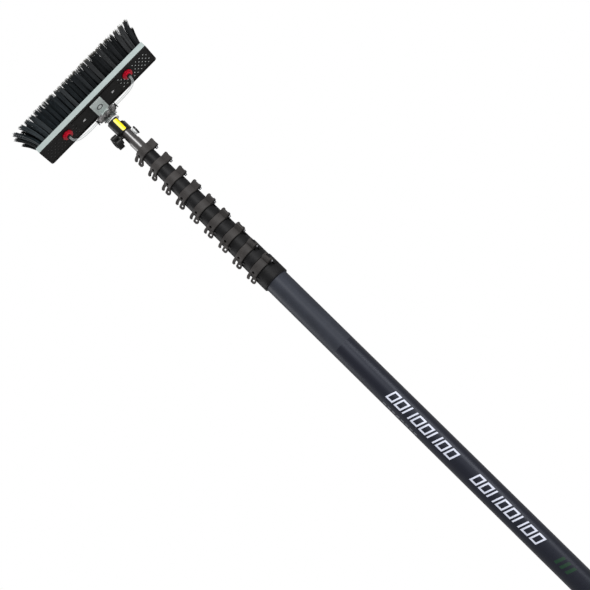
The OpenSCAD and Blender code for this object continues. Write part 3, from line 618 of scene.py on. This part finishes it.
sections = 9
finishOfNode = {
    "base_tube": "base", "base_cap": "cap", "neck_spigot": "tip", "neck_housing": "housing",
    "cross_bolt": "bolt", "star_knob": "knob", "latch_button": "button", "latch_spring": "spring",
    "swivel_washer": "washer", "hinge_yoke": "yoke", "hinge_bolt": "steel", "hinge_nut": "steel",
    "brush_bracket": "bracket", "bracket_screw": "steel", "brush_core": "core", "brush_back": "back",
    "jet_bodies": "jet", "jet_nuts": "nut", "tee_body": "tee", "collet_right": "collet",
    "collet_left": "collet"}
for k in range(1, sections + 1):
    finishOfNode[f"tube_{k}"] = "tip" if k == 1 else "section"
    finishOfNode[f"clamp_collar_{k}"] = "collar"
    finishOfNode[f"clamp_lever_{k}"] = "lever"
    finishOfNode[f"lever_pin_{k}"] = "pin"
for name, key in finishOfNode.items():
    node = frame["nodes"][name]
    if not node.material_slots:
        node.data.materials.append(finish[key])
    for slot in node.material_slots:
        slot.material = finish[key]
for tube in jetTubes:
    tube.data.materials.append(finish["tube"])
print("finishes set")

# ---- pieces ----


def keepPiece(name, bm, body, material, place, sharpFrom):
    if place is not None:
        bmesh.ops.transform(bm, matrix=place, verts=bm.verts)
    bmesh.ops.recalc_face_normals(bm, faces=bm.faces)
    mesh = bpy.data.meshes.new(name)
    bm.to_mesh(mesh)
    bm.free()
    mesh.shade_smooth()
    mesh.set_sharp_from_angle(angle=math.radians(sharpFrom))
    mesh.materials.append(material)
    piece = bpy.data.objects.new(name, mesh)
    bpy.context.scene.collection.objects.link(piece)
    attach(piece, body)
    return piece


# ---- bristles ----
bristle = {"rows": (-20.5, -7.5, 7.5, 20.5), "tufts": 27, "first": -143, "last": 143,
           "length": brush["bristleLength"], "rootRadius": 4.1, "sunk": 1.5, "kinds": 7, "seed": 5}
filament = {"count": 60, "thick": 0.66, "tipShare": 0.6, "thickRange": (0.8, 1.15), "cuts": 3,
            "lengthRange": (0.965, 1.0), "spread": 0.024, "stray": 0.006, "curl": 0.01}
# How the tufts of a row lean: along the brush (more at its two ends) and outwards across it
fan = {"straight": 0.04, "leftEnd": 0.3, "rightEnd": 0.2, "power": 5, "stray": 0.007, "outward": 0.07 / 21,
       "outwardStray": 0.008, "scatter": 0.6, "rootShare": 0.35, "droop": 0.12}


def makeFilament(length, lean, curl, thick):
    # a thin three-sided rod, curved, with a blunt tip
    bm = bmesh.new()
    made = bmesh.ops.create_cone(bm, cap_ends=True, segments=3, radius1=thick * mm,
                                 radius2=thick * filament["tipShare"] * mm, depth=length * mm)
    bmesh.ops.translate(bm, verts=made["verts"], vec=(0, 0, length * mm / 2))
    sides = [e for e in bm.edges if abs(e.verts[0].co.z - e.verts[1].co.z) > mm]
    bmesh.ops.subdivide_edges(bm, edges=sides, cuts=filament["cuts"])
    for v in bm.verts:
        t = v.co.z / (length * mm)
        v.co.x += (lean[0] * t + curl[0] * t * t) * length * mm
        v.co.y += (lean[1] * t + curl[1] * t * t) * length * mm
    return bm


def makeTuft(rng):
    tuft = bmesh.new()
    scratch = bpy.data.meshes.new("filament")
    spread, stray, bend = filament["spread"], filament["stray"], filament["curl"]
    root = bristle["rootRadius"] * mm
    for n in range(filament["count"]):
        a = rng.uniform(0, 2 * math.pi)
        out = math.sqrt(rng.random())
        x, y = math.cos(a) * out, math.sin(a) * out
        lean = (x * spread + rng.gauss(0, stray), y * spread + rng.gauss(0, stray))
        curl = (rng.gauss(0, bend), rng.gauss(0, bend))
        one = makeFilament(bristle["length"] * rng.uniform(*filament["lengthRange"]), lean, curl,
                           filament["thick"] * rng.uniform(*filament["thickRange"]))
        bmesh.ops.translate(one, verts=one.verts, vec=(x * root, y * root, 0))
        one.to_mesh(scratch)
        one.free()
        tuft.from_mesh(scratch)
    mesh = bpy.data.meshes.new("tuft")
    tuft.to_mesh(mesh)
    tuft.free()
    bpy.data.meshes.remove(scratch)
    return mesh


def makeBristleRow(number, across, tufts, rng):
    bm = bmesh.new()
    last = bristle["tufts"] - 1
    pitch = (bristle["last"] - bristle["first"]) / last
    for n in range(bristle["tufts"]):
        share = n / last * 2 - 1
        # every other row is set half a pitch along
        x = bristle["first"] + pitch * n + pitch / 4 * (1 if number % 2 else -1)
        y = across + rng.uniform(-fan["scatter"], fan["scatter"])
        ends = fan["leftEnd"] if share < 0 else fan["rightEnd"]
        lean = fan["straight"] * share + ends * share ** fan["power"] + rng.gauss(0, fan["stray"])
        outward = across * fan["outward"] + rng.gauss(0, fan["outwardStray"])
        before = len(bm.verts)
        bm.from_mesh(rng.choice(tufts))
        bm.verts.ensure_lookup_table()
        new = bm.verts[before:]
        turn = Matrix.Rotation(rng.uniform(0, 6.28), 3, "Z")
        bmesh.ops.rotate(bm, verts=new, cent=(0, 0, 0), matrix=turn)
        for v in new:
            t = v.co.z / (bristle["length"] * mm)
            v.co.x += lean * v.co.z * (fan["rootShare"] + (1 - fan["rootShare"]) * t) + x * mm
            v.co.y += outward * v.co.z + y * mm
            droop = abs(lean) * fan["droop"] * t * bristle["length"]
            v.co.z += (brush["coreTop"] - bristle["sunk"] - droop) * mm
    return keepPiece(f"bristleRow{number}", bm, "brush", finish["bristle"], brushPlace, 60)


rng = random.Random(bristle["seed"])
tuftMeshes = [makeTuft(rng) for n in range(bristle["kinds"])]
rows = [makeBristleRow(n + 1, across, tuftMeshes, rng) for n, across in enumerate(bristle["rows"])]
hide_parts("bristles")
for mesh in tuftMeshes:
    bpy.data.meshes.remove(mesh)
print("bristles made")

# ---- pegs of the core, seen in the holes of the back plate ----
peg = {"radius": 1.9, "footShare": 0.8, "top": 0.6, "foot": 2.6, "pitch": 10.4, "row": 8.1, "first": 66,
       "columns": 8, "rowsEachWay": 2, "offset": 1.5, "nut": (88, -8), "clear": 14.6}


def makePegs():
    middle = (peg["foot"] + peg["top"]) / 2
    # the right-hand pegs take the painted light and the left-hand pegs the painted shade
    for side, name, key in ((1, "corePegsRight", "peg"), (-1, "corePegsLeft", "pegPaintedShade")):
        bm = bmesh.new()
        for j in range(-peg["rowsEachWay"], peg["rowsEachWay"] + 1):
            for i in range(peg["columns"]):
                # odd rows sit half a pitch along
                x = peg["first"] + peg["pitch"] * (i + j % 2 / 2)
                y = peg["row"] * j + peg["offset"]
                if math.dist((x, y), peg["nut"]) <= peg["clear"]:
                    continue
                made = bmesh.ops.create_cone(bm, cap_ends=True, segments=6,
                                             radius1=peg["radius"] * peg["footShare"] * mm,
                                             radius2=peg["radius"] * mm,
                                             depth=(peg["foot"] - peg["top"]) * mm)
                bmesh.ops.translate(bm, verts=made["verts"], vec=(side * x * mm, y * mm, middle * mm))
        keepPiece(name, bm, "brush", finish[key], brushPlace, 40)


makePegs()
print("pegs made")

# ---- prints on the pole and the neck ----


def wrapPatch(bm, radius, centreX=0):
    # x of the flat patch runs round the pole from the user's side, z along it, and y is the height off it
    for v in bm.verts:
        a = v.co.x / radius
        r = radius - v.co.y
        v.co.x, v.co.y = centreX + math.sin(a) * r, -math.cos(a) * r


def addBar(bm, low, high, left, right, slant=0, middle=0):
    # one bar of a print, thin and closed, from low to high along the pole, leaning by slant
    lift = polePrint["lift"] * mm
    made = bmesh.ops.create_cube(bm, size=1)
    verts = made["verts"]
    for v in verts:
        v.co.x = left if v.co.x < 0 else right
        v.co.z = low if v.co.z < 0 else high
        v.co.y = -lift if v.co.y < 0 else lift * polePrint["sinkShare"]
        v.co.z += slant * (v.co.x - middle)
    edges = {e for v in verts for e in v.link_edges if abs(e.verts[0].co.x - e.verts[1].co.x) > mm / 1000}
    cuts = max(1, int((right - left) / (polePrint["facet"] * mm)))
    bmesh.ops.subdivide_edges(bm, edges=list(edges), cuts=cuts)


# Two words of outlines and bars, then three green bars, and a small grey row beside the first word
polePrint = {"radius": 26.3, "white": ((1152, 958), (925, 735)), "left": -13, "right": 10, "tall": 18,
             "stroke": 3.6, "gap": 4.4, "slant": -0.35, "lift": 0.05, "sinkShare": 0.6, "facet": 1.5,
             "green": {"top": 706, "count": 3, "pitch": 14, "tall": 7, "left": -11, "right": 9},
             "grey": {"top": 1152, "count": 8, "pitch": 12, "tall": 8, "left": -29, "right": -26.5}}


def addFrame(bm, low, high, barsOnly):
    # a slanted outline, or only its two bars across the pole
    s, left, right = polePrint["stroke"], polePrint["left"], polePrint["right"]
    bars = [(low, low + s, left, right), (high - s, high, left, right)]
    if not barsOnly:
        bars += [(low + s, high - s, left, left + s), (low + s, high - s, right - s, right)]
    for a, b, c, d in bars:
        addBar(bm, a * mm, b * mm, c * mm, d * mm, polePrint["slant"], (left + right) / 2 * mm)


def addBarRow(bm, values, slant):
    middle = (polePrint["left"] + polePrint["right"]) / 2
    for n in range(values["count"]):
        z = values["top"] - n * values["pitch"]
        addBar(bm, (z - values["tall"]) * mm, z * mm, values["left"] * mm, values["right"] * mm,
               slant, middle * mm)


def makePolePrint():
    white, green, grey = bmesh.new(), bmesh.new(), bmesh.new()
    for top, bottom in polePrint["white"]:
        z, n = top, 0
        while z - polePrint["tall"] > bottom:
            addFrame(white, z - polePrint["tall"], z, n % 3 == 2)
            z -= polePrint["tall"] + polePrint["gap"]
            n += 1
    addBarRow(green, polePrint["green"], polePrint["slant"])
    addBarRow(grey, polePrint["grey"], 0)
    for name, bm, key in (("printWhite", white, "printWhite"), ("printGreen", green, "printGreen"),
                          ("printSmall", grey, "printGrey")):
        wrapPatch(bm, polePrint["radius"] * mm)
        keepPiece(name, bm, "base", finish[key], None, 40)


makePolePrint()

neckLabel = {"low": 1929.2, "high": 1960.5, "half": 4.7, "middle": 3.0, "corner": 2.5, "radius": 15.5,
             "centre": -1.5, "lift": 0.12, "cuts": (-2, 9)}


def makeNeckLabel():
    n = neckLabel
    bm = bmesh.new()
    bmesh.ops.create_grid(bm, x_segments=1, y_segments=1, size=1)
    for v in bm.verts:
        x = (n["middle"] + (n["half"] if v.co.x > 0 else -n["half"])) * mm
        z = (n["high"] if v.co.y > 0 else n["low"]) * mm
        v.co = (x, 0, z)
    bmesh.ops.bevel(bm, geom=list(bm.verts), offset=n["corner"] * mm, affect="VERTICES", segments=4,
                    profile=0.5, material=-1)
    # cut into strips a millimetre wide, so that it can bend round the neck
    for step in range(*n["cuts"]):
        bmesh.ops.bisect_plane(bm, geom=bm.verts[:] + bm.edges[:] + bm.faces[:],
                               plane_co=(step * mm, 0, 0), plane_no=(1, 0, 0))
    bmesh.ops.solidify(bm, geom=list(bm.faces), thickness=n["lift"] * 2 * mm)
    bmesh.ops.translate(bm, verts=bm.verts, vec=(-n["centre"] * mm, 0, 0))
    middle = sum((v.co.y for v in bm.verts), 0.0) / len(bm.verts)
    for v in bm.verts:
        v.co.y -= middle
    wrapPatch(bm, n["radius"] * mm, n["centre"] * mm)
    keepPiece("neckLabel", bm, "section_1", finish["label"], None, 40)


makeNeckLabel()
print("prints made")

# ---- studio ----
# Lights by the picture's own right and up, and towards the eye, in metres from the aim
studio = {"backdrop": (0.93, 0.93, 0.93), "fill": 0.4, "floorSize": 3.2, "floorDrop": 0.002,
          "aim": (0, 0, 1.5),
          "lights": {"keyLight": {"right": -0.8, "up": 1.8, "near": 2.3, "size": (1.0, 1.0), "power": 66},
                     "sideLight": {"right": 1.4, "up": 1.5, "near": 1.6, "size": (1.0, 1.2), "power": 17},
                     "rearLight": {"right": -1.8, "up": -0.6, "near": -0.6, "size": (1.0, 1.6), "power": 20}}}


def makeStudio():
    bm = bmesh.new()
    bmesh.ops.create_circle(bm, cap_ends=True, segments=64, radius=studio["floorSize"])
    mesh = bpy.data.meshes.new("floor")
    bm.to_mesh(mesh)
    bm.free()
    floor = bpy.data.objects.new("floor", mesh)
    floor.location = (0, 0, -studio["floorDrop"])
    bpy.context.scene.collection.objects.link(floor)
    material, tree, shader = startMaterial("floorPaper")
    shader.inputs["Base Color"].default_value = (0.8, 0.8, 0.8, 1)
    shader.inputs["Roughness"].default_value = 0.8
    mesh.materials.append(material)
    world = bpy.data.worlds.new("studio")
    world.use_nodes = True
    bpy.context.scene.world = world
    tree = world.node_tree
    back = tree.nodes["Background"]
    back.inputs["Color"].default_value = (*studio["backdrop"], 1)
    back.inputs["Strength"].default_value = studio["fill"]
    seen = addNode(tree, "ShaderNodeBackground", (0, -200))
    seen.inputs["Color"].default_value = (1, 1, 1, 1)
    seen.inputs["Strength"].default_value = 1.0
    path = addNode(tree, "ShaderNodeLightPath", (-200, 200))
    mix = addNode(tree, "ShaderNodeMixShader", (200, 0))
    out = tree.nodes["World Output"]
    tree.links.new(path.outputs["Is Camera Ray"], mix.inputs[0])
    tree.links.new(back.outputs[0], mix.inputs[1])
    tree.links.new(seen.outputs[0], mix.inputs[2])
    tree.links.new(mix.outputs[0], out.inputs[0])


def addSoftbox(name, values):
    data = bpy.data.lights.new(name, "AREA")
    data.shape = "RECTANGLE"
    data.size, data.size_y = values["size"]
    data.energy = values["power"]
    light = bpy.data.objects.new(name, data)
    bpy.context.scene.collection.objects.link(light)
    aim = Vector(studio["aim"])
    spot = aim + screenRight * values["right"] + screenUp * values["up"] - screenIn * values["near"]
    light.location = spot
    light.rotation_mode = "QUATERNION"
    light.rotation_quaternion = (aim - spot).to_track_quat("-Z", "Y")


makeStudio()
for name, values in studio["lights"].items():
    addSoftbox(name, values)
bpy.context.scene.view_settings.view_transform = "Standard"
print("studio made")
